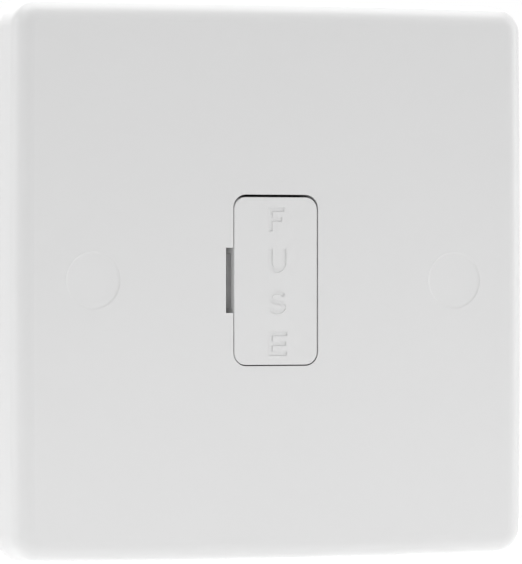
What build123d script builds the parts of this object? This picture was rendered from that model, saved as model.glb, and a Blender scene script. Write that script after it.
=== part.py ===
from build123d import *
import os

os.makedirs("parts", exist_ok=True)

# Fused spur unit for a single wall box, in millimetres. The wall is the XZ plane: X runs right and Z up
# as the plate is seen from the room. Depths are counted forward from the wall, so what faces the room
# has a positive depth (towards -Y) and what goes into the box has a negative one.

# Front plate
plate_size = 86.0
plate_depth = 8.6
plate_bow = 0.25
plate_corner_r = 4.2
plate_edge_r = 3.0
plate_rim = 2.4
plate_draft = 6.0  # degrees
plate_wall = 2.4
rim_wall = 2.4
rib_t = 1.4
rib_h = 2.4

# Fixing to the wall box, with the caps that hide the screws
fixing_centres = 60.3
fixing_screw_d = 3.5
fixing_screw_len = 25.0
fixing_neck_d = 3.1
fixing_head_d = 6.6
fixing_head_h = 2.2
fixing_hole_gap = 0.35
fixing_seat_t = 3.1
boss_wall = 2.15
boss_setback = 0.3
cap_d = 8.8
cap_t = 1.3
cap_fit = 0.04
cap_ring_t = 0.6
cap_ring_h = 1.1
cap_edge = 0.08

# Cartridge fuse
fuse_len = 25.4
fuse_d = 6.3
fuse_barrel_d = 5.5
fuse_cap_len = 5.7
fuse_cap_wall = 0.38
fuse_edge = 0.25
fuse_gap = 0.45

# Fuse carrier, its opening in the plate and its bay in the housing
carrier_w = 13.85
carrier_end = 0.18
carrier_r = 1.95
carrier_edge_r = 0.45
carrier_gap = 0.17
carrier_drop = 0.11
carrier_face_t = 2.4
carrier_wall = 1.2
carrier_wall_depth = 12.6
carrier_travel = 13.0
saddle_len = 9.0
saddle_arm_t = 0.9
saddle_wrap = 1.1
stop_arm_w = 3.0
stop_lug = 0.8
stop_lug_h = 1.3
stop_gap = 0.1
notch_w = 1.2
notch_len = 10.0
notch_depth = 3.0
pry_lip = 1.4
pry_groove_h = 1.6
pry_groove_depth = 0.8

# Brass strip: the clips that hold the fuse, and the links
strip_t = 0.7
strip_bend_r = 0.8
clip_w = 4.8
clip_fit = 0.05
clip_reach = 1.2
clip_flare = 1.0
link_w = 3.4
earth_link_w = 2.6
link_overlap = 2.4

# Pillar terminals and their screws
pillar_w = 7.4
pillar_len = 9.6
pillar_depth = 8.0
pillar_chamfer = 0.4
wire_bore_d = 4.4
wire_bore_inset = 2.8
smallest_wire_d = 1.8
terminal_screw_d = 3.5
terminal_head_d = 5.6
terminal_head_h = 1.8
screw_fit = 0.05
screw_slot_w = 0.9
screw_slot_depth = 0.9
screw_edge = 0.4

# Rear housing and the screws that hold it to the plate
housing_wall = 1.6
housing_corner_r = 3.0
housing_edge_r = 1.2
housing_gap = 0.15
hall_floor = -4.4
bay_wall = 1.6
pocket_wall = 1.55
seat_fit = 0.02
pocket_fit = 0.1
core_wall = 1.6
core_web_t = 1.8
core_r = 1.5
free_gap = 0.3
well_gap = 0.4
post_r = 2.5
holder_r = 1.8
housing_screw_d = 2.9
housing_screw_len = 9.3
housing_head_d = 5.0
housing_head_h = 1.9

# What follows from the values above: the carrier and its bay
plate_back = plate_depth - plate_wall
aperture_w = carrier_w + 2 * carrier_gap
carrier_h = fuse_len + 2 * carrier_end
aperture_h = carrier_h + 2 * (carrier_gap + carrier_drop)
aperture_r = carrier_r + carrier_gap
carrier_face_back = plate_depth - carrier_face_t
carrier_wall_end = plate_depth - carrier_wall_depth
fuse_depth = carrier_face_back - fuse_gap - fuse_d / 2
lug_front = plate_back - carrier_travel - stop_gap
lug_back = lug_front - stop_lug_h
bay_floor = lug_back - well_gap
bay_outer_w = aperture_w + 2 * bay_wall
bay_outer_h = aperture_h + 2 * bay_wall
clip_z = (fuse_len - fuse_cap_len) / 2

# The fixing bosses, and the housing that fits between them
cap_seat = plate_depth - cap_t
head_seat = boss_setback + fixing_seat_t
head_well_r = cap_d / 2 - cap_ring_t
boss_r = head_well_r + boss_wall
boss_outer_x = fixing_centres / 2 + boss_r
housing_w = fixing_centres - 2 * (boss_r + housing_gap)
core_outer_x = housing_w / 2 - housing_wall
housing_screw_x = core_outer_x - post_r - free_gap

# The terminals and the strip that joins them
pillar_x = housing_screw_x - post_r - well_gap - link_w / 2
pillar_z = bay_outer_h / 2 + pocket_wall + pillar_len / 2
housing_h = 2 * (pillar_z + pillar_len / 2 + pocket_fit + housing_wall)
pocket_floor = hall_floor - pillar_depth
wire_bore_depth = hall_floor - wire_bore_inset
clamp_travel = wire_bore_d - smallest_wire_d
terminal_tip = wire_bore_depth - wire_bore_d / 2 - stop_gap
terminal_head_seat = pocket_floor - clamp_travel - 2 * stop_gap
housing_back = terminal_head_seat - terminal_head_h - 2 * stop_gap
strip_front = hall_floor + strip_t
blade_x = fuse_d / 2 + clip_fit + strip_t / 2
riser_x = bay_outer_w / 2 + 2 * well_gap + strip_t / 2
slot_end_x = riser_x + strip_bend_r + free_gap
earth_run_x = bay_outer_w / 2 + free_gap + earth_link_w / 2
core_inner_x = slot_end_x + core_wall

# Each terminal's place as seen from the room: load wires leave at the top, supply wires at the bottom.
terminals = {
    "live_load": (-pillar_x, pillar_z),
    "earth_load": (0, pillar_z),
    "neutral_load": (pillar_x, pillar_z),
    "live_supply": (-pillar_x, -pillar_z),
    "earth_supply": (0, -pillar_z),
    "neutral_supply": (pillar_x, -pillar_z),
}

# Outline of the plate: four sides that bow out very slightly, joined by round corners.
half = plate_size / 2
corner = half - plate_bow
with BuildSketch() as plate_outline:
    with BuildLine():
        ThreePointArc((-corner, corner), (0, half), (corner, corner))
        ThreePointArc((corner, corner), (half, 0), (corner, -corner))
        ThreePointArc((corner, -corner), (0, -half), (-corner, -corner))
        ThreePointArc((-corner, -corner), (-half, 0), (-corner, corner))
    make_face()
    fillet(plate_outline.vertices(), plate_corner_r)

# Front plate: a moulded shell, open at the back. Its sides rise straight from the wall and then lean in
# by the mould's draft to a rounded front edge. Inside it has the bosses of the fixing screws, a frame
# that locates the housing, ribs, the posts that the housing is screwed to, and a post that holds each
# terminal down in its pocket.
with BuildPart() as front_plate:
    with BuildSketch(Plane.XZ):
        add(plate_outline.sketch)
    extrude(amount=plate_rim)
    with BuildSketch(Plane.XZ.offset(plate_rim)):
        add(plate_outline.sketch)
    extrude(amount=plate_depth - plate_rim, taper=plate_draft)
    fillet(front_plate.faces().sort_by(Axis.Y)[0].edges(), plate_edge_r)
    with BuildSketch(Plane.XZ) as cavity:
        add(plate_outline.sketch)
        offset(amount=-rim_wall, mode=Mode.REPLACE)
    extrude(amount=plate_back, mode=Mode.SUBTRACT)
    cavity_floor = front_plate.faces().filter_by(Axis.Y).sort_by(Axis.Y)[1]
    chamfer(cavity_floor.edges(), rim_wall / 3)
    with BuildSketch(Plane.XZ.offset(boss_setback)):
        with GridLocations(fixing_centres, 1, 2, 1):
            Circle(boss_r)
    extrude(amount=plate_back - boss_setback)
    with BuildSketch(Plane.XZ.offset(plate_back - rib_h)):
        RectangleRounded(
            housing_w + 2 * (housing_gap + rib_t),
            housing_h + 2 * (housing_gap + rib_t),
            housing_corner_r + housing_gap + rib_t,
        )
        with GridLocations(2 * pillar_x, (housing_h + plate_size) / 2, 2, 2):
            Rectangle(rib_t, (plate_size - housing_h) / 2 - rim_wall)
        with GridLocations(half + boss_outer_x - rim_wall, 1, 2, 1):
            Rectangle(half - boss_outer_x, rib_t)
        RectangleRounded(
            housing_w + 2 * housing_gap,
            housing_h + 2 * housing_gap,
            housing_corner_r + housing_gap,
            mode=Mode.SUBTRACT,
        )
    extrude(amount=rib_h)
    with BuildSketch(Plane.XZ.offset(hall_floor)):
        with GridLocations(2 * housing_screw_x, 1, 2, 1):
            Circle(post_r)
            Circle(housing_screw_d / 2 + seat_fit, mode=Mode.SUBTRACT)
    extrude(amount=plate_back - hall_floor)
    with BuildSketch(Plane.XZ.offset(strip_front)):
        with Locations(*terminals.values()):
            Circle(holder_r)
    extrude(amount=plate_back - strip_front)
    with Locations(Plane.XZ.offset(plate_depth)):
        with GridLocations(fixing_centres, 1, 2, 1):
            CounterBoreHole(
                radius=fixing_screw_d / 2 + fixing_hole_gap,
                counter_bore_radius=head_well_r,
                counter_bore_depth=plate_depth - head_seat,
            )
            Hole(radius=cap_d / 2 + cap_fit, depth=cap_t)
    with BuildSketch(Plane.XZ.offset(plate_depth)):
        RectangleRounded(aperture_w, aperture_h, aperture_r)
        with Locations((-aperture_w / 2, 0)):
            Rectangle(2 * notch_w, notch_len)
    extrude(amount=-plate_wall, mode=Mode.SUBTRACT)
front_plate.part.label = "front_plate"
export_step(front_plate.part, "parts/front_plate.step")

# Rear housing: a deep moulding with an open hall towards the plate, the bay that the carrier slides in,
# a pocket for each terminal, a well behind each terminal screw and cored-out recesses at the back.
with BuildPart() as rear_housing:
    with BuildSketch(Plane.XZ.offset(housing_back)):
        RectangleRounded(housing_w, housing_h, housing_corner_r)
    extrude(amount=plate_back - housing_back)
    fillet(rear_housing.faces().sort_by(Axis.Y)[-1].edges(), housing_edge_r)
    with BuildSketch(Plane.XZ.offset(hall_floor)):
        RectangleRounded(
            housing_w - 2 * housing_wall,
            housing_h - 2 * housing_wall,
            housing_corner_r - housing_wall / 2,
        )
        RectangleRounded(bay_outer_w, bay_outer_h, aperture_r + bay_wall, mode=Mode.SUBTRACT)
    extrude(amount=plate_back - hall_floor, mode=Mode.SUBTRACT)
    with BuildSketch(Plane.XZ.offset(bay_floor)):
        RectangleRounded(aperture_w, aperture_h, aperture_r)
        with GridLocations(1, 2 * clip_z, 1, 2):
            with Locations((-slot_end_x / 2, 0)):
                Rectangle(slot_end_x, clip_w + 2 * free_gap)
            with Locations((aperture_w / 2, 0)):
                Rectangle(2 * stop_lug, stop_arm_w + 2 * free_gap)
    extrude(amount=plate_back - bay_floor, mode=Mode.SUBTRACT)
    with BuildSketch(Plane.XZ.offset(plate_back)):
        with Locations((-aperture_w / 2, 0)):
            Rectangle(2 * notch_w, notch_len)
    extrude(amount=plate_wall - notch_depth, mode=Mode.SUBTRACT)
    with BuildSketch(Plane.XZ.offset(pocket_floor)):
        with Locations(*terminals.values()):
            Rectangle(pillar_w + 2 * pocket_fit, pillar_len + 2 * pocket_fit)
    extrude(amount=pillar_depth, mode=Mode.SUBTRACT)
    with BuildSketch(Plane.XZ.offset(housing_back)):
        with Locations(*terminals.values()):
            Circle(terminal_head_d / 2 + well_gap)
    extrude(amount=pocket_floor - housing_back, mode=Mode.SUBTRACT)
    for side in (1, -1):
        with BuildSketch(Plane.XY.offset(side * housing_h / 2)):
            with Locations((0, -wire_bore_depth)):
                with GridLocations(pillar_x, 1, 3, 1):
                    Circle(wire_bore_d / 2 + well_gap)
        extrude(amount=-side * housing_wall, mode=Mode.SUBTRACT)
    with BuildSketch(Plane.XZ.offset(housing_back)):
        RectangleRounded(aperture_w - core_wall, aperture_h - core_wall, core_r)
    extrude(amount=bay_floor - core_web_t - housing_back, mode=Mode.SUBTRACT)
    with BuildSketch(Plane.XZ.offset(housing_back)):
        with GridLocations(core_inner_x + core_outer_x, 1, 2, 1):
            RectangleRounded(core_outer_x - core_inner_x, bay_outer_h - core_wall, core_r)
    extrude(amount=hall_floor - core_web_t - housing_back, mode=Mode.SUBTRACT)
    with BuildSketch(Plane.XZ.offset(hall_floor)):
        with GridLocations(2 * housing_screw_x, 1, 2, 1):
            Circle(housing_screw_d / 2 + free_gap)
    extrude(amount=-core_web_t, mode=Mode.SUBTRACT)
rear_housing.part.label = "rear_housing"
export_step(rear_housing.part, "parts/rear_housing.step")

# The two screws that hold the housing to the plate, driven from the back into the plate's posts.
with BuildPart() as housing_screws:
    with BuildSketch(Plane.XZ.offset(hall_floor - core_web_t)):
        with GridLocations(2 * housing_screw_x, 1, 2, 1):
            Circle(housing_screw_d / 2)
    extrude(amount=housing_screw_len)
    with BuildSketch(Plane.XZ.offset(hall_floor - core_web_t)):
        with GridLocations(2 * housing_screw_x, 1, 2, 1):
            Circle(housing_head_d / 2)
    extrude(amount=-housing_head_h)
    rear_faces = housing_screws.faces().group_by(Axis.Y)[-1]
    chamfer(rear_faces.edges(), screw_edge)
    with BuildSketch(Plane.XZ.offset(hall_floor - core_web_t - housing_head_h)):
        with GridLocations(2 * housing_screw_x, 1, 2, 1):
            Rectangle(housing_head_d, screw_slot_w)
    extrude(amount=screw_slot_depth, mode=Mode.SUBTRACT)
housing_screws.part.label = "housing_screws"
export_step(housing_screws.part, "parts/housing_screws.step")

# Fuse carrier: a face that lies flush in the plate, two guide walls, a saddle that snaps round the
# fuse's barrel, and on the right two arms whose lugs stop it at the plate when it is pulled out.
# A groove behind the left edge of the face gives a screwdriver a hold through the plate's notch.
carrier_plane = Plane(origin=(0, 0, -carrier_drop), x_dir=(1, 0, 0), z_dir=(0, -1, 0))
arm_x = (carrier_w - carrier_wall) / 2
with BuildPart() as fuse_carrier:
    with BuildSketch(carrier_plane.offset(carrier_wall_end)):
        RectangleRounded(carrier_w, carrier_h, carrier_r)
    extrude(amount=carrier_wall_depth)
    fillet(fuse_carrier.faces().sort_by(Axis.Y)[0].edges(), carrier_edge_r)
    with BuildSketch(carrier_plane.offset(carrier_wall_end)):
        Rectangle(carrier_w - 2 * carrier_wall, carrier_h)
    extrude(amount=carrier_face_back - carrier_wall_end, mode=Mode.SUBTRACT)
    with BuildSketch(Plane.XY.offset(-carrier_drop)) as saddle:
        with BuildLine():
            Polyline(
                (-fuse_barrel_d / 2 - saddle_arm_t, -carrier_face_back),
                (-fuse_barrel_d / 2 - saddle_arm_t, saddle_wrap - fuse_depth),
                (fuse_barrel_d / 2 + saddle_arm_t, saddle_wrap - fuse_depth),
                (fuse_barrel_d / 2 + saddle_arm_t, -carrier_face_back),
                close=True,
            )
        make_face()
        with Locations((0, -fuse_depth)):
            Circle(fuse_barrel_d / 2 + clip_fit, mode=Mode.SUBTRACT)
    extrude(amount=saddle_len / 2, both=True)
    with BuildSketch(carrier_plane.offset(lug_back)):
        with GridLocations(1, 2 * clip_z, 1, 2):
            with Locations((arm_x, 0)):
                Rectangle(carrier_wall, stop_arm_w)
    extrude(amount=carrier_wall_end - lug_back)
    with BuildSketch(carrier_plane.offset(lug_back)):
        with GridLocations(1, 2 * clip_z, 1, 2):
            with Locations((carrier_w / 2, 0)):
                Rectangle(2 * (stop_lug - carrier_gap / 2), stop_arm_w)
    extrude(amount=stop_lug_h)
    lug_edges = fuse_carrier.edges().filter_by(Axis.Z).group_by(Axis.Y)[-1].sort_by(Axis.X)[-2:]
    chamfer(lug_edges, stop_lug / 2)
    with BuildSketch(carrier_plane.offset(plate_depth - pry_lip)):
        with Locations((-carrier_w / 2, 0)):
            Rectangle(2 * pry_groove_depth, notch_len - 2 * pry_groove_depth)
    extrude(amount=-pry_groove_h, mode=Mode.SUBTRACT)
fuse_carrier.part.label = "fuse_carrier"
export_step(fuse_carrier.part, "parts/fuse_carrier.step")

# Cartridge fuse, upright in the carrier: a ceramic barrel with a metal cup on each end.
fuse_plane = Plane.XY.move(Location((0, -fuse_depth, -carrier_drop)))
with BuildPart() as fuse_barrel:
    with BuildSketch(fuse_plane):
        Circle(fuse_barrel_d / 2)
    extrude(amount=fuse_len / 2 - fuse_cap_wall, both=True)
fuse_barrel.part.label = "fuse_barrel"
export_step(fuse_barrel.part, "parts/fuse_barrel.step")

with BuildPart() as fuse_cap_upper:
    with BuildSketch(fuse_plane.offset(fuse_len / 2)):
        Circle(fuse_d / 2)
    extrude(amount=-fuse_cap_len)
    chamfer(fuse_cap_upper.faces().sort_by(Axis.Z)[-1].edges(), fuse_edge)
    with BuildSketch(fuse_plane.offset(fuse_len / 2 - fuse_cap_wall)):
        Circle(fuse_barrel_d / 2 + seat_fit)
    extrude(amount=-fuse_cap_len, mode=Mode.SUBTRACT)
fuse_cap_upper.part.label = "fuse_cap_upper"
export_step(fuse_cap_upper.part, "parts/fuse_cap_upper.step")

with BuildPart() as fuse_cap_lower:
    mirror(fuse_cap_upper.part, about=fuse_plane)
fuse_cap_lower.part.label = "fuse_cap_lower"
export_step(fuse_cap_lower.part, "parts/fuse_cap_lower.step")

# Live clip: one bent brass strip. Its jaws stand on the bay's floor on both sides of the fuse's cap and
# flare open at the front. Its tail leaves the bay through a slot and lies on the terminal.
base_y = -bay_floor - strip_t / 2
strap_y = -hall_floor - strip_t / 2
waist_y = -fuse_depth - clip_reach
with BuildPart() as live_clip_load:
    with BuildSketch(Plane.XY.offset(clip_z - clip_w / 2)) as clip_section:
        with BuildLine():
            FilletPolyline(
                (-blade_x - clip_flare, waist_y - clip_reach),
                (-blade_x, waist_y),
                (-blade_x, base_y),
                (blade_x, base_y),
                (blade_x, waist_y),
                (blade_x + clip_flare, waist_y - clip_reach),
                radius=strip_bend_r,
            )
        trace(line_width=strip_t)
        with BuildLine():
            FilletPolyline(
                (0, base_y),
                (-riser_x, base_y),
                (-riser_x, strap_y),
                (-pillar_x - link_w / 2, strap_y),
                radius=strip_bend_r,
            )
        trace(line_width=strip_t)
    extrude(amount=clip_w)
    strap_bottom = clip_z - clip_w / 2
    strap_top = pillar_z + link_overlap
    with BuildSketch(Plane.XZ.offset(hall_floor)):
        with Locations((-pillar_x, (strap_bottom + strap_top) / 2)):
            Rectangle(link_w, strap_top - strap_bottom)
    extrude(amount=strip_t)
live_clip_load.part.label = "live_clip_load"
export_step(live_clip_load.part, "parts/live_clip_load.step")

with BuildPart() as live_clip_supply:
    mirror(live_clip_load.part, about=Plane.XY)
live_clip_supply.part.label = "live_clip_supply"
export_step(live_clip_supply.part, "parts/live_clip_supply.step")

# Neutral link: a straight strip from the neutral supply terminal to the neutral load terminal.
with BuildPart() as neutral_link:
    with BuildSketch(Plane.XZ.offset(hall_floor)):
        with Locations((pillar_x, 0)):
            Rectangle(link_w, 2 * (pillar_z + link_overlap))
    extrude(amount=strip_t)
neutral_link.part.label = "neutral_link"
export_step(neutral_link.part, "parts/neutral_link.step")

# Earth link: a strip that goes round the carrier's bay from one earth terminal to the other.
with BuildPart() as earth_link:
    with BuildSketch(Plane.XZ.offset(hall_floor)):
        with BuildLine():
            FilletPolyline(
                (-link_overlap, pillar_z),
                (earth_run_x, pillar_z),
                (earth_run_x, -pillar_z),
                (-link_overlap, -pillar_z),
                radius=earth_link_w,
            )
        trace(line_width=earth_link_w)
    extrude(amount=strip_t)
earth_link.part.label = "earth_link"
export_step(earth_link.part, "parts/earth_link.step")

# Terminals: a brass pillar with a bore for the wires, and a slotted screw from the back that clamps
# them. The screws stand backed off, with their tips just clear of the bore.
for name, (x, z) in terminals.items():
    with BuildPart() as pillar:
        with BuildSketch(Plane.XZ.offset(pocket_floor)):
            with Locations((x, z)):
                Rectangle(pillar_w, pillar_len)
        extrude(amount=pillar_depth)
        chamfer(pillar.edges().filter_by(Axis.Y), pillar_chamfer)
        with BuildSketch(Plane.XY.offset(z)):
            with Locations((x, -wire_bore_depth)):
                Circle(wire_bore_d / 2)
        extrude(amount=pillar_len / 2, both=True, mode=Mode.SUBTRACT)
        with BuildSketch(Plane.XZ.offset(pocket_floor)):
            with Locations((x, z)):
                Circle(terminal_screw_d / 2 + screw_fit)
        extrude(amount=wire_bore_depth - pocket_floor, mode=Mode.SUBTRACT)
    pillar.part.label = "terminal_" + name
    export_step(pillar.part, "parts/terminal_" + name + ".step")

    with BuildPart() as clamp_screw:
        with BuildSketch(Plane.XZ.offset(terminal_head_seat)):
            with Locations((x, z)):
                Circle(terminal_screw_d / 2)
        extrude(amount=terminal_tip - terminal_head_seat)
        with BuildSketch(Plane.XZ.offset(terminal_head_seat)):
            with Locations((x, z)):
                Circle(terminal_head_d / 2)
        extrude(amount=-terminal_head_h)
        chamfer(clamp_screw.faces().sort_by(Axis.Y)[-1].edges(), screw_edge)
        with BuildSketch(Plane.XZ.offset(terminal_head_seat - terminal_head_h)):
            with Locations((x, z)):
                Rectangle(screw_slot_w, terminal_head_d)
        extrude(amount=screw_slot_depth, mode=Mode.SUBTRACT)
    clamp_screw.part.label = "terminal_screw_" + name
    export_step(clamp_screw.part, "parts/terminal_screw_" + name + ".step")

# Fixing screws that go into the lugs of the wall box, each under a push-in cap flush with the plate.
# Each has a thinner neck where it passes through the plate, and its full size from there to the tip.
for name, x in (("left", -fixing_centres / 2), ("right", fixing_centres / 2)):
    with BuildPart() as fixing_screw:
        with BuildSketch(Plane.XZ.offset(boss_setback)):
            with Locations((x, 0)):
                Circle(fixing_screw_d / 2)
        extrude(amount=fixing_seat_t - fixing_screw_len)
        chamfer(fixing_screw.faces().sort_by(Axis.Y)[-1].edges(), screw_edge)
        with BuildSketch(Plane.XZ.offset(boss_setback)):
            with Locations((x, 0)):
                Circle(fixing_neck_d / 2)
        extrude(amount=fixing_seat_t)
        with BuildSketch(Plane.XZ.offset(head_seat)):
            with Locations((x, 0)):
                Circle(fixing_head_d / 2)
        extrude(amount=fixing_head_h)
        chamfer(fixing_screw.faces().sort_by(Axis.Y)[0].edges(), fixing_head_h / 2)
        with BuildSketch(Plane.XZ.offset(head_seat + fixing_head_h)):
            with Locations((x, 0)):
                Rectangle(fixing_head_d, screw_slot_w)
        extrude(amount=-screw_slot_depth, mode=Mode.SUBTRACT)
    fixing_screw.part.label = "fixing_screw_" + name
    export_step(fixing_screw.part, "parts/fixing_screw_" + name + ".step")

    with BuildPart() as screw_cap:
        with BuildSketch(Plane.XZ.offset(cap_seat)):
            with Locations((x, 0)):
                Circle(cap_d / 2)
        extrude(amount=cap_t)
        chamfer(screw_cap.faces().sort_by(Axis.Y)[0].edges(), cap_edge)
        with BuildSketch(Plane.XZ.offset(cap_seat)):
            with Locations((x, 0)):
                Circle(head_well_r - cap_fit)
                Circle(head_well_r - cap_fit - cap_ring_t, mode=Mode.SUBTRACT)
        extrude(amount=-cap_ring_h)
    screw_cap.part.label = "screw_cap_" + name
    export_step(screw_cap.part, "parts/screw_cap_" + name + ".step")
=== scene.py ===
import math

import bmesh
import bpy
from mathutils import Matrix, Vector


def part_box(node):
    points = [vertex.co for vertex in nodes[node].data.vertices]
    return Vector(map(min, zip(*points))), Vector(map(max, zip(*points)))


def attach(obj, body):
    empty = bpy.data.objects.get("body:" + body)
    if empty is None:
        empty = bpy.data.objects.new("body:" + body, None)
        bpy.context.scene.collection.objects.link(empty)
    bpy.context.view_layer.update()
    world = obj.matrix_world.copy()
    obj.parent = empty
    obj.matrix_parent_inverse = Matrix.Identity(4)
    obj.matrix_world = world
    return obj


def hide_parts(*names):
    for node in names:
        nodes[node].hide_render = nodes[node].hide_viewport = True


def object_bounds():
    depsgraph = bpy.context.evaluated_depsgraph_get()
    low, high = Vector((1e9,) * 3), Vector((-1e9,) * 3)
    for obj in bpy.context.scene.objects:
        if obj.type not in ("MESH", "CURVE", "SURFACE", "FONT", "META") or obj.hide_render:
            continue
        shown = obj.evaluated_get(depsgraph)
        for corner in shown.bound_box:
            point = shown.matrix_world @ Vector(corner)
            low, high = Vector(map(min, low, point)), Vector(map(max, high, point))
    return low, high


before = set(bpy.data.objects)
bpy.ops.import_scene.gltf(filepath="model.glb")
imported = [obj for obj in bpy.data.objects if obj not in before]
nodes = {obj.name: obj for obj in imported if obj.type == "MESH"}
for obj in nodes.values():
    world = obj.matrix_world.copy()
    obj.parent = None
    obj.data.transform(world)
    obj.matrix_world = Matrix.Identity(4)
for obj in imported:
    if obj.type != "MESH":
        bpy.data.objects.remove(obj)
cad_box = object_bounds()

# Front plate: the square cover that the rest hangs on, pressed in white urea in a polished mould. The
# solid is kept as it is and gets its finish: a satin gloss with a faint orange peel and hardly any cloud.

mm = 0.001


class Wire:
    """A node's output. Operators on it add Math nodes beside it, and node() adds any other kind."""

    def __init__(self, socket):
        self.socket = socket

    def node(self, kind, settings=(), sockets=(), out=0):
        tree = self.socket.id_data
        made = tree.nodes.new(kind)
        for name, value in dict(settings).items():
            setattr(made, name, value)
        for name, value in dict(sockets).items():
            if isinstance(value, Wire):
                tree.links.new(value.socket, made.inputs[name])
            else:
                made.inputs[name].default_value = value
        return Wire(made.outputs[out])

    def maths(self, operation, first, second):
        return self.node("ShaderNodeMath", {"operation": operation}, {0: first, 1: second})

    def __add__(self, other):
        return self.maths("ADD", self, other)

    def __radd__(self, other):
        return self.maths("ADD", other, self)

    def __sub__(self, other):
        return self.maths("SUBTRACT", self, other)

    def __rsub__(self, other):
        return self.maths("SUBTRACT", other, self)

    def __mul__(self, other):
        return self.maths("MULTIPLY", self, other)

    def __rmul__(self, other):
        return self.maths("MULTIPLY", other, self)


class Finish:
    """One material: fixed values are set on its shader, and what varies over the surface is fed to it."""

    def __init__(self, name, **fixed):
        self.material = bpy.data.materials.new(name)
        self.material.use_nodes = True
        self.tree = self.material.node_tree
        self.shader = self.tree.nodes["Principled BSDF"]
        for socket, value in fixed.items():
            self.shader.inputs[socket.replace("_", " ")].default_value = value
        self.place = Wire(self.tree.nodes.new("ShaderNodeTexCoord").outputs["Object"])

    def noise(self, grain, detail=2.0, stretch=(1, 1, 1)):
        """Noise from 0 to 1 whose lumps are about a grain wide, drawn out along the axes of stretch."""
        scale = [1 / s for s in stretch]
        drawn = self.place.node("ShaderNodeMapping", {}, {"Vector": self.place, "Scale": scale})
        return drawn.node("ShaderNodeTexNoise", {}, {"Vector": drawn, "Scale": 1 / grain, "Detail": detail})

    def mix(self, share, dark, light):
        """A colour between two others, by a share from 0 to 1. Mix has several sockets of each name, so
        those for colour go by number."""
        factor, colour_a, colour_b, result = 0, 6, 7, 2
        ends = {factor: share, colour_a: (*dark, 1), colour_b: (*light, 1)}
        return share.node("ShaderNodeMix", {"data_type": "RGBA"}, ends, out=result)

    def bump(self, height, depth):
        """Fine relief: the height, from 0 to 1, stands for this depth in metres."""
        return height.node("ShaderNodeBump", {}, {"Height": height, "Distance": depth, "Strength": 1.0})

    def feed(self, **wires):
        for socket, wire in wires.items():
            self.tree.links.new(wire.socket, self.shader.inputs[socket.replace("_", " ")])

    def coat(self, *pieces):
        for piece in pieces:
            piece.data.materials.clear()
            piece.data.materials.append(self.material)


def white_urea(name, tone):
    """White urea as it leaves a polished mould. The tone is its mean grey."""
    tone_swing = 0.008
    least_roughness, roughness_swing = 0.30, 0.08
    made = Finish(name, IOR=1.5)
    cloud = made.noise(26 * mm)
    fleck = made.noise(0.5 * mm, detail=3.0)
    peel = made.noise(1.3 * mm)
    dark, light = ([tone * (1 + swing)] * 3 for swing in (-tone_swing, tone_swing))
    made.feed(
        Base_Color=made.mix(0.7 * cloud + 0.3 * fleck, dark, light),
        Roughness=least_roughness + roughness_swing * made.noise(7 * mm),
        Normal=made.bump(peel, 0.0025 * mm),
    )
    return made


plate_finish = white_urea("white_urea_plate", tone=0.75)
plate_finish.coat(nodes["front_plate"])

# Rear housing: the deep box behind the plate that holds the live pieces, moulded in the same white but
# with an eroded, matt tool surface. It drops into the frame on the plate's back.

housing_finish = Finish("matt_white_housing", IOR=1.5)
housing_cloud = housing_finish.noise(12 * mm)
eroded = housing_finish.noise(0.28 * mm, detail=3.0)
housing_finish.feed(
    Base_Color=housing_finish.mix(
        0.6 * housing_cloud + 0.4 * eroded, dark=(0.665, 0.665, 0.655), light=(0.715, 0.715, 0.705)
    ),
    Roughness=0.50 + 0.14 * eroded,
    Normal=housing_finish.bump(eroded, 0.012 * mm),
)
housing_finish.coat(nodes["rear_housing"])

# Housing screws: two zinc-plated steel screws that go in from the back, through the housing's webs and
# into the plate's posts. Each has a slotted pan head and a coarse thread that forms its own way.


def link(piece):
    bpy.context.scene.collection.objects.link(piece)
    return piece


def cut(piece, cutter):
    """Takes the cutter's shape out of the piece, and the cutter out of the scene."""
    step = piece.modifiers.new("cut", "BOOLEAN")
    step.operation = "DIFFERENCE"
    step.solver = "EXACT"
    step.object = cutter
    seen = piece.evaluated_get(bpy.context.evaluated_depsgraph_get())
    shaped = bpy.data.meshes.new_from_object(seen)
    piece.modifiers.clear()
    piece.data = shaped
    bpy.data.objects.remove(cutter)


def crisp(piece, angle):
    """Smooth shading that breaks where two faces meet at more than this angle, in degrees."""
    piece.data.shade_smooth()
    piece.data.set_sharp_from_angle(angle=math.radians(angle))
    even = piece.modifiers.new("even", "WEIGHTED_NORMAL")
    even.keep_sharp = True


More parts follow.
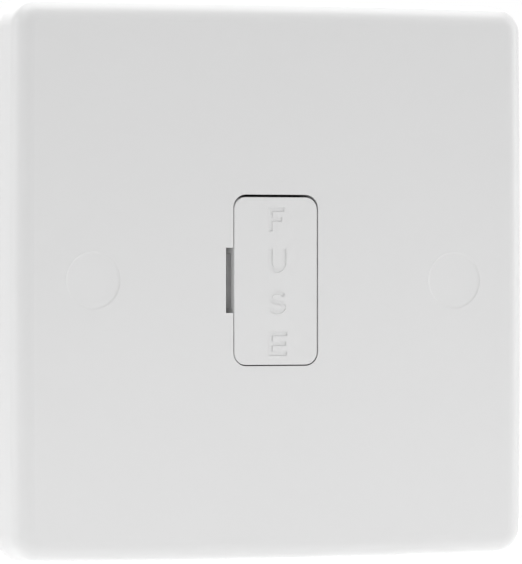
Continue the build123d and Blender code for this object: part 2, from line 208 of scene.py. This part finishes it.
def screw(name, x, z, top, tip, head_r, head_h, rim_r, shank_r, pitch, slot_along, neck=0):
    """A slotted screw along Y from the top of its head to its tip: a rounded rim, a plain neck where it
    has one, and a rolled thread that runs out at both ends."""
    sides = 40
    rows_a_pitch = 10
    rim_steps = 6
    tip_bevel = 0.4 * mm
    slot_w = slot_depth = 0.9 * mm
    thread_depth = 0.61 * pitch
    crest, flank = 0.125, 0.75
    way = math.copysign(1.0, tip - top)
    length = abs(tip - top)
    thread_at = head_h + neck
    neck_depth = 0.4 * thread_depth if neck else thread_depth
    neck_r = shank_r - neck_depth

    def radius(along, turn):
        phase = abs(2 * ((along / pitch - turn) % 1) - 1)
        groove = min(max((1 - crest - phase) / flank, 0), 1)
        run_in = min(max((along - thread_at) / pitch, 0), 1)
        lead = shank_r - thread_depth * groove * run_in - neck_depth * (1 - run_in)
        return min(lead, shank_r - tip_bevel + max(length - along, 0))

    stations = []
    for step in range(rim_steps + 1):
        lean = math.radians(90 * step / rim_steps)
        stations.append((rim_r * (1 - math.cos(lean)), head_r - rim_r * (1 - math.sin(lean))))
    stations += [(head_h, head_r), (head_h, neck_r)]
    if neck:
        stations.append((thread_at, neck_r))
    rows = math.ceil((length - thread_at) / pitch * rows_a_pitch)
    stations += [(thread_at + (length - thread_at) * row / rows, None) for row in range(1, rows + 1)]

    points = [(x, top, z)]
    faces = []
    for along, plain_r in stations:
        for side in range(sides):
            turn = side / sides
            r = radius(along, turn) if plain_r is None else plain_r
            across = r * math.cos(math.tau * turn)
            over = r * math.sin(math.tau * turn)
            dx, dz = (over, across) if way > 0 else (across, over)
            points.append((x + dx, top + way * along, z + dz))
    points.append((x, tip, z))
    last = 1 + (len(stations) - 1) * sides
    for side in range(sides):
        beside = (side + 1) % sides
        faces.append((0, 1 + beside, 1 + side))
        faces.append((len(points) - 1, last + side, last + beside))
        for ring in range(len(stations) - 1):
            a = 1 + ring * sides
            faces.append((a + side, a + beside, a + sides + beside, a + sides + side))
    mesh = bpy.data.meshes.new(name)
    mesh.from_pydata(points, [], faces)
    piece = link(bpy.data.objects.new(name, mesh))

    blade = bpy.data.meshes.new(name + "_slot")
    shape = bmesh.new()
    bmesh.ops.create_cube(shape, size=1.0)
    blade_len = 3 * head_r
    across_x, across_z = (blade_len, slot_w) if slot_along == "x" else (slot_w, blade_len)
    bmesh.ops.scale(shape, vec=(across_x, 2 * slot_depth, across_z), verts=shape.verts)
    bmesh.ops.translate(shape, vec=(x, top, z), verts=shape.verts)
    shape.to_mesh(blade)
    shape.free()
    cut(piece, link(bpy.data.objects.new(name + "_slot", blade)))
    crisp(piece, angle=32)
    return piece


zinc = Finish("bright_zinc", Metallic=1.0, Anisotropic=0.3)
zinc_cloud = zinc.noise(1.6 * mm, detail=4.0)
zinc_grain = zinc.noise(0.12 * mm, detail=3.0)
zinc.feed(
    Base_Color=zinc.mix(zinc_cloud, dark=(0.47, 0.50, 0.54), light=(0.62, 0.62, 0.61)),
    Roughness=0.24 + 0.16 * zinc_grain,
    Normal=zinc.bump(zinc_grain, 0.004 * mm),
)

low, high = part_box("housing_screws")
housing_head_r = (high.z - low.z) / 2
for side, x in (("left", low.x + housing_head_r), ("right", high.x - housing_head_r)):
    piece = screw(
        "housing_screw_" + side, x, 0, top=high.y, tip=low.y, head_r=housing_head_r, head_h=1.9 * mm,
        rim_r=0.6 * mm, shank_r=1.45 * mm, pitch=1.1 * mm, slot_along="x",
    )
    zinc.coat(piece)
    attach(piece, "unit")
    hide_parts("housing_screws")

# Clips and links: bent and blanked from rolled brass strip, lying in the housing's hall. The two live
# clips grip the fuse's end caps, and the links join the neutral and the earth terminals straight through.

strip = Finish("rolled_brass", Metallic=1.0, Anisotropic=0.5)
rolled = strip.noise(0.16 * mm, detail=3.0, stretch=(1, 1, 14))
strip_cloud = strip.noise(5 * mm, detail=3.0)
strip.feed(
    Base_Color=strip.mix(
        0.5 * rolled + 0.5 * strip_cloud, dark=(0.66, 0.46, 0.19), light=(0.83, 0.63, 0.31)
    ),
    Roughness=0.22 + 0.14 * rolled + 0.08 * strip_cloud,
    Normal=strip.bump(rolled, 0.004 * mm),
)
for name in ("live_clip_load", "live_clip_supply", "neutral_link", "earth_link"):
    strip.coat(nodes[name])

# Terminals: six pillars sawn from drawn brass bar, cross-drilled for the wires and tapped for a screw.
# They stand in the housing's pockets. Saw and drill leave fine lines across them.

terminals = [line + "_" + end for line in ("live", "earth", "neutral") for end in ("load", "supply")]
pillar = Finish("sawn_brass", Metallic=1.0)
sawn = pillar.noise(0.2 * mm, detail=4.0, stretch=(12, 1, 1))
tarnish = pillar.noise(3.5 * mm, detail=4.0)
pillar.feed(
    Base_Color=pillar.mix(
        0.35 * sawn + 0.65 * tarnish, dark=(0.58, 0.40, 0.17), light=(0.82, 0.62, 0.31)
    ),
    Roughness=0.26 + 0.18 * sawn,
    Normal=pillar.bump(sawn, 0.006 * mm),
)
for terminal in terminals:
    pillar.coat(nodes["terminal_" + terminal])

# Terminal screws: turned brass with a slotted cheese head, one in the back of each pillar. Each drives
# straight onto the wires, and its head lies just inside its well in the housing.

turned = Finish("turned_brass", Metallic=1.0)
rings = turned.noise(0.09 * mm, detail=2.0, stretch=(8, 1, 8))
handled = turned.noise(1.2 * mm, detail=4.0)
turned.feed(
    Base_Color=turned.mix(
        0.4 * rings + 0.6 * handled, dark=(0.64, 0.47, 0.22), light=(0.86, 0.67, 0.36)
    ),
    Roughness=0.20 + 0.16 * rings,
    Normal=turned.bump(rings, 0.004 * mm),
)
for terminal in terminals:
    low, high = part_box("terminal_screw_" + terminal)
    middle = (low + high) / 2
    piece = screw(
        "clamp_screw_" + terminal, middle.x, middle.z, top=high.y, tip=low.y, head_r=(high.x - low.x) / 2,
        head_h=1.8 * mm, rim_r=0.4 * mm, shank_r=1.75 * mm, pitch=0.6 * mm, slot_along="z",
    )
    turned.coat(piece)
    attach(piece, "clamp_" + terminal)
    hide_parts("terminal_screw_" + terminal)

# Cartridge fuse: an unglazed cream ceramic tube with a drawn, nickel-plated brass cup pressed on each
# end. It snaps into the carrier's saddle and goes with it.

ceramic = Finish("cream_ceramic", IOR=1.55)
body_cloud = ceramic.noise(4 * mm)
pores = ceramic.noise(0.18 * mm, detail=4.0)
ceramic.feed(
    Base_Color=ceramic.mix(
        0.5 * body_cloud + 0.5 * pores, dark=(0.68, 0.65, 0.58), light=(0.78, 0.75, 0.68)
    ),
    Roughness=0.48 + 0.20 * pores,
    Normal=ceramic.bump(pores, 0.010 * mm),
)
ceramic.coat(nodes["fuse_barrel"])

nickel = Finish("nickel_plate", Metallic=1.0)
drawn_lines = nickel.noise(0.11 * mm, detail=3.0, stretch=(1, 1, 12))
dull = nickel.noise(2.2 * mm, detail=3.0)
nickel.feed(
    Base_Color=nickel.mix(dull, dark=(0.62, 0.59, 0.54), light=(0.76, 0.73, 0.68)),
    Roughness=0.16 + 0.12 * drawn_lines + 0.10 * dull,
    Normal=nickel.bump(drawn_lines, 0.003 * mm),
)
nickel.coat(nodes["fuse_cap_upper"], nodes["fuse_cap_lower"])

# Fuse carrier: the white moulding that pulls out with the fuse. The word on its face says what it holds:
# the letters are sunk into the moulding, one above the other, and eased towards the upper left. The
# solid's front edge is drawn finer, as a polished tool leaves it.

letter_h = 3.5 * mm
letter_pitch = 6.37 * mm
letter_left = -1.06 * mm
letters_middle = -0.23 * mm
stroke = 0.5 * mm
sunk = 0.125 * mm
ease = 0.12 * mm
ease_left = 0.11 * mm
ease_up = 0.07 * mm
punch_over = 0.2 * mm
arc_steps = 20


def barred(width, middle_width, foot_width):
    """Outline of an E, or of an F where the foot is no wider than its stem: bars to the right of a stem."""
    waist = (letter_h - stroke) / 2
    points = [(0, letter_h), (0, 0), (foot_width, 0)]
    if foot_width > stroke:
        points += [(foot_width, stroke), (stroke, stroke)]
    points += [(stroke, waist), (middle_width, waist), (middle_width, waist + stroke)]
    points += [(stroke, waist + stroke), (stroke, letter_h - stroke), (width, letter_h - stroke)]
    return points + [(width, letter_h)]


def penned(line):
    """Outline of an even stroke along a line of points."""
    sides = ([], [])
    for at, (x, y) in enumerate(line):
        before = line[max(at - 1, 0)]
        after = line[min(at + 1, len(line) - 1)]
        run = Vector((after[0] - before[0], after[1] - before[1])).normalized()
        for side, sign in zip(sides, (1, -1)):
            side.append((x + sign * run.y * stroke / 2, y - sign * run.x * stroke / 2))
    return sides[0] + sides[1][::-1]


def arc(middle, across, up, start, end):
    """Points along an ellipse between two angles in degrees."""
    turns = [math.radians(start + (end - start) * step / arc_steps) for step in range(arc_steps + 1)]
    return [(middle[0] + across * math.cos(t), middle[1] + up * math.sin(t)) for t in turns]


def cup(width):
    """The line of a U."""
    bend = (width - stroke) / 2
    left_end, right_end = (stroke / 2, letter_h), (width - stroke / 2, letter_h)
    return [left_end] + arc((width / 2, bend + stroke / 2), bend, bend, 180, 360) + [right_end]


def snake(width):
    """The line of an S: two open ellipses, one on the other."""
    mouth = 25
    across = (width - stroke) / 2
    up = (letter_h - stroke) / 4
    upper = arc((width / 2, letter_h / 2 + up), across, up, mouth, 270)
    lower = arc((width / 2, letter_h / 2 - up), across, up, 90, mouth - 180)
    return upper + lower[1:]


def widened(outline, by):
    """The outline moved outward by this much, corner by corner."""
    moved = []
    for at, corner in enumerate(outline):
        into = (Vector(corner) - Vector(outline[at - 1])).normalized()
        away = (Vector(outline[(at + 1) % len(outline)]) - Vector(corner)).normalized()
        first = Vector((into.y, -into.x))
        second = Vector((away.y, -away.x))
        moved.append(tuple(Vector(corner) + (first + second) * by / (1 + first.dot(second))))
    return moved


low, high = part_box("fuse_carrier")
face_y = low.y
letters = {
    "F": barred(2.45 * mm, 2.1 * mm, foot_width=stroke),
    "U": penned(cup(2.8 * mm)),
    "S": penned(snake(2.75 * mm)),
    "E": barred(2.95 * mm, 2.7 * mm, foot_width=2.9 * mm),
}
punch_mesh = bpy.data.meshes.new("letter_punch")
punch = bmesh.new()
for place, outline in enumerate(letters.values()):
    foot = letters_middle + ((len(letters) - 1) / 2 - place) * letter_pitch - letter_h / 2
    walls = []
    for below, opened in ((sunk, 0), (0, 1), (-punch_over, 1)):
        left = letter_left - opened * ease_left
        base = foot + opened * ease_up
        ring = widened(outline, opened * ease)
        walls.append([punch.verts.new((left + x, face_y + below, base + z)) for x, z in ring])
    count = len(outline)
    for inner, outer in zip(walls, walls[1:]):
        for at in range(count):
            beside = (at + 1) % count
            punch.faces.new((inner[at], inner[beside], outer[beside], outer[at]))
    punch.faces.new(walls[0][::-1])
    punch.faces.new(walls[-1])
bmesh.ops.recalc_face_normals(punch, faces=punch.faces)
punch.to_mesh(punch_mesh)
punch.free()

edge_r = 0.45 * mm
edge_slack = 1.01
finer_edge = 0.4
corner_r = 1.95 * mm
weld = 0.0005 * mm
flat_angle = math.radians(0.2)
carrier_z = (low.z + high.z) / 2
core_x = -low.x - corner_r
core_z = (high.z - low.z) / 2 - corner_r
blank = bmesh.new()
blank.from_mesh(nodes["fuse_carrier"].data)
for corner in blank.verts:
    deep = corner.co.y - face_y
    place = Vector((corner.co.x, corner.co.z - carrier_z))
    core = Vector((min(max(place.x, -core_x), core_x), min(max(place.y, -core_z), core_z)))
    inset = corner_r - (place - core).length
    if deep < edge_r and inset < edge_slack * edge_r:
        place = core + (place - core).normalized() * (corner_r - finer_edge * inset)
        corner.co = (place.x, face_y + finer_edge * deep, place.y + carrier_z)
bmesh.ops.remove_doubles(blank, verts=blank.verts, dist=weld)
bmesh.ops.dissolve_limit(blank, angle_limit=flat_angle, verts=blank.verts, edges=blank.edges)
carrier_mesh = bpy.data.meshes.new("lettered_carrier")
blank.to_mesh(carrier_mesh)
blank.free()
carrier = link(bpy.data.objects.new("lettered_carrier", carrier_mesh))
cut(carrier, link(bpy.data.objects.new("letter_punch", punch_mesh)))
crisp(carrier, angle=30)
carrier_finish = white_urea("white_urea_carrier", tone=0.75)
carrier_finish.coat(carrier)
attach(carrier, "carrier")
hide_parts("fuse_carrier")

# Fixing screws: two zinc-plated steel screws of the usual 3.5 mm thread that hold the plate to the lugs
# of the wall box. A plain neck passes the plate, and the rolled thread stands out behind it.

for side in ("left", "right"):
    low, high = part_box("fixing_screw_" + side)
    middle = (low + high) / 2
    piece = screw(
        "box_screw_" + side, middle.x, middle.z, top=low.y, tip=high.y, head_r=(high.x - low.x) / 2,
        head_h=2.2 * mm, rim_r=1.0 * mm, shank_r=1.75 * mm, pitch=0.6 * mm, slot_along="x",
        neck=3.1 * mm,
    )
    zinc.coat(piece)
    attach(piece, "unit")
    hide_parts("fixing_screw_" + side)

# Screw caps: two small white discs of the plate's urea that push into it over the fixing screws. Each is
# a shallow dish with a ring behind it. They lie flush, a touch deeper at the lower right.

cap_fit = 0.036 * mm
cap_edge = 0.02 * mm
cap_dish = 0.10 * mm
dish_knee = 0.093 * mm
knee_inset = 0.288 * mm
floor_inset = 0.384 * mm
cap_lean = 0.04 * mm
lean_up, lean_left = 0.8, 0.6
cap_ring_outer = 3.76 * mm
cap_ring_inner = 3.16 * mm
cap_ring_h = 1.1 * mm
cap_sides = 128

cap_finish = white_urea("white_urea_cap", tone=0.752)
for side in ("left", "right"):
    low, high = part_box("screw_cap_" + side)
    middle = (low + high) / 2
    cap_r = (high.x - low.x) / 2 + cap_fit
    seat = high.y - cap_ring_h
    profile = [
        (0, low.y + cap_dish), (cap_r - floor_inset, low.y + cap_dish),
        (cap_r - knee_inset, low.y + dish_knee), (cap_r - cap_edge, low.y),
        (cap_r, low.y + cap_edge), (cap_r, seat), (cap_ring_outer, seat), (cap_ring_outer, high.y),
        (cap_ring_inner, high.y), (cap_ring_inner, seat), (0, seat),
    ]
    lathe = bmesh.new()
    circles = []
    for r, y in profile:
        circle = []
        for turn in range(cap_sides if r else 1):
            across = r * math.cos(math.tau * turn / cap_sides)
            up = r * math.sin(math.tau * turn / cap_sides)
            out = cap_lean * (lean_up * up - lean_left * across) / cap_r if y < seat else 0
            circle.append(lathe.verts.new((middle.x + across, y - out, middle.z + up)))
        circles.append(circle)
    for first, second in zip(circles, circles[1:]):
        for turn in range(cap_sides):
            beside = (turn + 1) % cap_sides
            corners = [first[turn % len(first)], first[beside % len(first)]]
            corners += [second[beside % len(second)], second[turn % len(second)]]
            lathe.faces.new(dict.fromkeys(corners))
    bmesh.ops.recalc_face_normals(lathe, faces=lathe.faces)
    cap_mesh = bpy.data.meshes.new("push_cap_" + side)
    lathe.to_mesh(cap_mesh)
    lathe.free()
    piece = link(bpy.data.objects.new("push_cap_" + side, cap_mesh))
    crisp(piece, angle=40)
    cap_finish.coat(piece)
    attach(piece, "cap_" + side)
    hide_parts("screw_cap_" + side)

# Studio: a pale floor just under the plate, white all round, and large soft lamps. The brightest hangs
# overhead, with more behind and at both sides, so that they catch the rounded edges and leave the face an
# even light grey. A card low in front and a strip on the floor lift the lower edge.

floor_gap = 20 * mm
floor_r = 0.6
floor_sides = 96
floor_mesh = bpy.data.meshes.new("floor")
disc = bmesh.new()
bmesh.ops.create_circle(disc, cap_ends=True, segments=floor_sides, radius=floor_r)
bmesh.ops.translate(disc, vec=(0, 0, cad_box[0].z - floor_gap), verts=disc.verts)
disc.to_mesh(floor_mesh)
disc.free()
floor = link(bpy.data.objects.new("floor", floor_mesh))
floor_finish = Finish("pale_floor", Roughness=0.9, Specular_IOR_Level=0.1)
floor_cloud = floor_finish.noise(50 * mm)
floor_finish.feed(Base_Color=floor_finish.mix(floor_cloud, dark=[0.90] * 3, light=[0.92] * 3))
floor_finish.coat(floor)

room_light = 0.50
world = bpy.data.worlds.new("studio")
world.use_nodes = True
bpy.context.scene.world = world
backdrop = world.node_tree.nodes["Background"]
backdrop.inputs["Color"].default_value = (1, 1, 1, 1)
rays = world.node_tree.nodes.new("ShaderNodeLightPath").outputs
unseen = 1 - Wire(rays["Is Camera Ray"])
unseen = unseen * (1 - Wire(rays["Is Glossy Ray"])) * (1 - Wire(rays["Is Transmission Ray"]))
world.node_tree.links.new((1 - (1 - room_light) * unseen).socket, backdrop.inputs["Strength"])


def softbox(name, place, width, height, brightness):
    """A soft lamp that faces the plate's middle. A brightness of 1 is white to look at."""
    white_watts_a_square_metre = 4
    data = bpy.data.lights.new(name, "AREA")
    data.shape = "RECTANGLE"
    data.size = width
    data.size_y = height
    data.energy = white_watts_a_square_metre * width * height * brightness
    lamp = link(bpy.data.objects.new(name, data))
    lamp.location = place
    lamp.rotation_euler = (-Vector(place)).to_track_quat("-Z", "Y").to_euler()
    lamp.visible_camera = False


softbox("lamp_back_top", (0, 0.85, 0.50), width=1.2, height=0.7, brightness=1.30)
softbox("lamp_top", (0, 0, 1.0), width=1.2, height=0.8, brightness=2.10)
softbox("lamp_right_front", (0.90, -0.35, 0.15), width=0.5, height=0.7, brightness=0.78)
softbox("lamp_right", (0.98, -0.12, 0.15), width=0.4, height=0.7, brightness=1.10)
softbox("lamp_left", (-0.98, 0.17, 0.15), width=0.5, height=0.7, brightness=1.02)
softbox("lamp_low_card", (0, -0.07, -0.06), width=0.25, height=0.05, brightness=0.41)
softbox("lamp_floor_strip", (0, 0.01, -0.06), width=0.25, height=0.03, brightness=0.20)

# Camera: far off with a long lens, level with the plate's middle and a little to its left, as the
# photograph was taken.

view_turn = math.radians(22.99)
view_tilt = math.radians(0.06)
view_far = 0.8697
lens = bpy.data.cameras.new("camera")
lens.lens = 358.1
lens.sensor_width = 36
lens.shift_x = 0.0124
lens.shift_y = -0.0031
camera = link(bpy.data.objects.new("camera", lens))
level = view_far * math.cos(view_tilt)
camera.location = (
    -level * math.sin(view_turn), -level * math.cos(view_turn), view_far * math.sin(view_tilt)
)
camera.rotation_euler = (math.radians(90) - view_tilt, 0, -view_turn)
bpy.context.scene.camera = camera
bpy.context.scene.view_settings.view_transform = "Standard"
